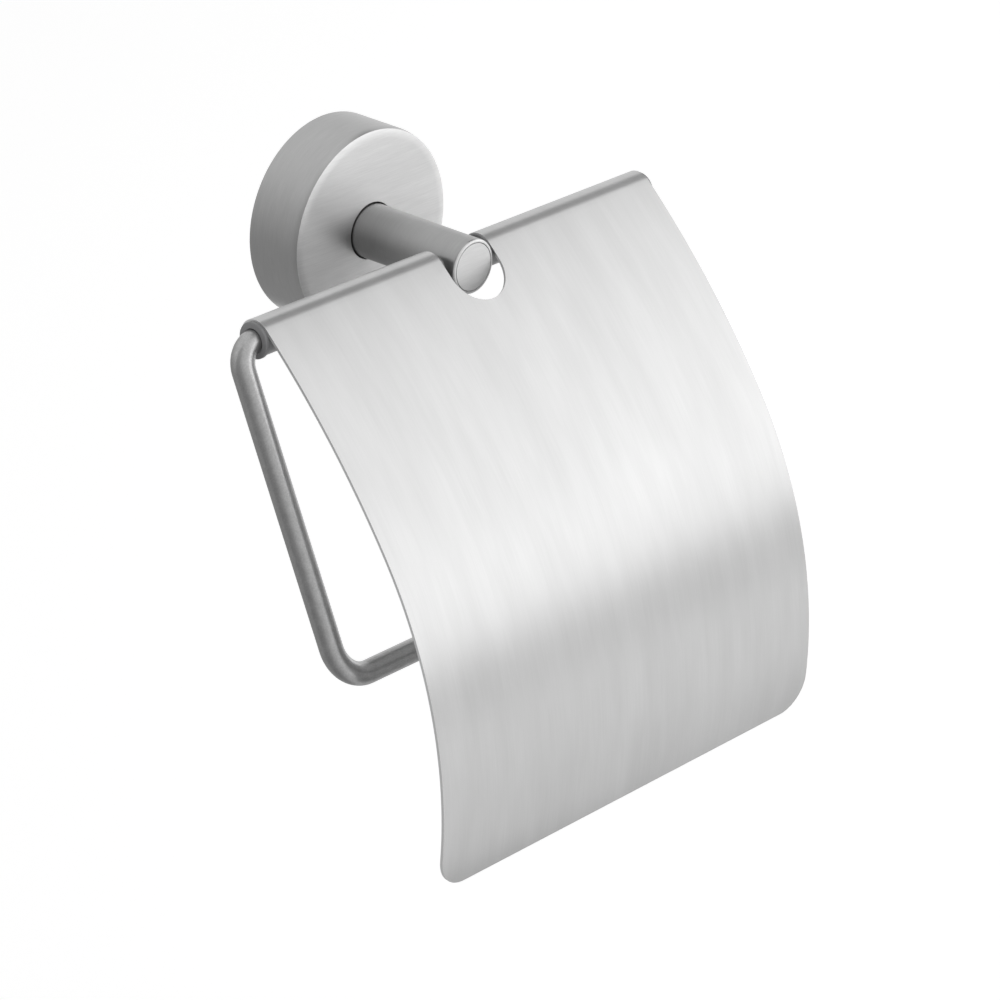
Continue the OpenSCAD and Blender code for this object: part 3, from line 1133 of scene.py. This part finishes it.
@dataclass
class Studio:
    """Pale floor, soft lamps, grey screens and the camera at the photograph's angle."""

    aim: Vector = field(default_factory=lambda: Vector((0.0, -0.07, -0.04)))
    floor_height: float = -0.42
    floor_size: float = 12.0
    floor_lift: float = 0.42
    floor_colour: str = "#EDEDED"
    ambient: float = 0.6
    azimuth_deg: float = 47.116
    elevation_deg: float = 25.039
    roll_deg: float = 0.380
    focal_px: float = 4564.0
    offset_mm: tuple[float, float, float] = (-44.92, 73.55, 1172.05)
    frame_px: float = 1000.0
    sensor_mm: float = 36.0
    clip: Point2 = (0.05, 50.0)
    softboxes: tuple[Softbox, ...] = (
        Softbox("front", 60.0, 14.8, 1.7, (3.0, 0.92), 0.97),
        Softbox("upper_right", 48.0, 41.0, 1.75, (1.5, 0.71), 0.42),
    )
    cards: tuple[Card, ...] = (
        Card("front_left_screen", (-62.0, -8.0), ((NEAR, LOW), (FAR, LOW), (FAR, HIGH)),
             ("#A8A8A8", "#E4E4E4", "#F8F8F8", WHITE)),
        Card("left_screen", (-112.0, -62.0), ((NEAR, LOW), (FAR, LOW), (FAR, HIGH), (0.35, 1.75)),
             ("#9A9A9A", "#C0C0C0", "#A0A0A0", "#DCDCDC")),
        Card("back_left_screen", (-200.0, -112.0), ((NEAR, LOW), (FAR, LOW), (FAR, HIGH)),
             ("#AEAEAE", WHITE, "#B8B8B8", WHITE)),
        Card("under_screen", (-8.0, 160.0), ((NEAR, LOW), (0.34, LOW)), ("#D0D0D0",) * 4),
        Card("right_floor_screen", (66.0, 98.0), ((0.34, LOW), (0.6, LOW)), ("#808080",) * 4),
        Card("ceiling_screen", (60.0, 125.0), ((0.5, 1.36), (1.5, 1.36)), ("#4C4C4C",) * 4),
    )

    def world(self) -> None:
        """Light the scene softly from all round. The camera and reflections see a white background."""
        world = bpy.data.worlds.new("studio")
        world.use_nodes = True
        tree = world.node_tree
        tree.nodes.clear()
        ambient = add(tree, "ShaderNodeBackground", {"Color": linear(WHITE), "Strength": self.ambient})
        white = add(tree, "ShaderNodeBackground", {"Color": linear(WHITE), "Strength": 1.0})
        mixed = add(tree, "ShaderNodeMixShader", {0: seen_directly(tree), 1: ambient.outputs[0],
                                                  2: white.outputs[0]})
        add(tree, "ShaderNodeOutputWorld", {"Surface": mixed.outputs[0]})
        bpy.context.scene.world = world

    def floor(self) -> None:
        """Lay the pale floor, lifted to white for the camera and in reflections. It keeps the shadow."""
        paint, tree = blank_material("matt_white_floor")
        strength = add(tree, "ShaderNodeMath", {0: seen_directly(tree), 1: self.floor_lift},
                       operation="MULTIPLY").outputs[0]
        matt = add(tree, "ShaderNodeBsdfDiffuse", {"Color": linear(self.floor_colour)})
        lift = add(tree, "ShaderNodeEmission", {"Color": linear(WHITE), "Strength": strength})
        both = add(tree, "ShaderNodeAddShader", {0: matt.outputs[0], 1: lift.outputs[0]})
        add(tree, "ShaderNodeOutputMaterial", {"Surface": both.outputs[0]})
        mesh = bmesh.new()
        bmesh.ops.create_grid(mesh, x_segments=1, y_segments=1, size=self.floor_size / 2,
                              matrix=Matrix.Translation((0, 0, self.floor_height)))
        data = stored("floor", mesh)
        data.materials.append(paint)
        panel = linked("floor", data)

    def lamps(self) -> None:
        """Hang the softboxes."""
        for box in self.softboxes:
            light = bpy.data.lights.new(box.name, "AREA")
            light.shape, light.size, light.size_y = "RECTANGLE", *box.size
            light.energy = math.pi * box.size[0] * box.size[1] * box.radiance
            lamp = linked(box.name, light)
            lamp.location = self.aim + towards(box.azimuth_deg, box.elevation_deg) * box.distance
            lamp.rotation_mode = "QUATERNION"
            lamp.rotation_quaternion = (self.aim - lamp.location).to_track_quat("-Z", "Y")
            lamp.visible_camera = False

    def camera(self) -> None:
        """Set the camera as it was fitted to the photograph."""
        azimuth, roll = math.radians(self.azimuth_deg), math.radians(self.roll_deg)
        back = towards(-self.azimuth_deg, self.elevation_deg)
        right = Vector((math.cos(azimuth), -math.sin(azimuth), 0.0))
        up = back.cross(right)
        right, up = (math.cos(roll) * right + math.sin(roll) * up,
                     -math.sin(roll) * right + math.cos(roll) * up)
        turn = Matrix((right, up, -back))
        place = -(turn.transposed() @ Vector(self.offset_mm)) * MM
        data = bpy.data.cameras.new("camera")
        data.sensor_width = self.sensor_mm
        data.lens = self.focal_px * self.sensor_mm / self.frame_px
        data.clip_start, data.clip_end = self.clip
        camera = linked("camera", data)
        camera.matrix_world = Matrix.Translation(place) @ Matrix((right, up, back)).transposed().to_4x4()
        bpy.context.scene.camera = camera

    def build(self) -> None:
        """Set up the whole studio."""
        bpy.context.scene.view_settings.view_transform = "Standard"
        self.world()
        self.floor()
        self.lamps()
        for card in self.cards:
            card.build(self.aim.xy.to_3d())
        self.camera()


def main() -> None:
    """Load the frame, dress it and set up the studio."""
    logging.basicConfig(level=logging.INFO, format="%(name)s: %(message)s")
    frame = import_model()
    Studio().build()
    Rosette().build()
    Post().build()
    RollRod().build()
    Cover().build()
    outer = {"flange_radius": 4.7, "flange": 1.0, "bevel": 0.12}
    inner = {"flange_radius": 4.95, "flange": 0.4, "bevel": 0.25}
    for bush in (
        Bush("flanged_bush_left", "outer_bush_left", at=-70.05, sign=1, **outer),
        Bush("flanged_bush_right", "outer_bush_right", at=68.45, sign=-1, **outer),
        Bush("notch_bush_left", "inner_bush_left", at=-9.5, sign=-1, **inner),
        Bush("notch_bush_right", "inner_bush_right", at=7.9, sign=1, **inner),
    ):
        bush.build()
    for carried in (
        CarriedNode("wall_plate", "turned_wall_plate", PLAIN, "plate_steel"),
        CarriedNode("post_screw", "socket_head_post_screw", SCREW, "screw_steel"),
        CarriedNode("post_lock_washer", "split_lock_washer", SCREW, "screw_steel"),
        CarriedNode("rosette_grub_screw", "rosette_socket_grub_screw", SCREW, "screw_steel"),
        CarriedNode("rod_grub_screw", "rod_socket_grub_screw", SCREW, "screw_steel"),
    ):
        carried.build(frame)


if __name__ == "__main__":
    main()
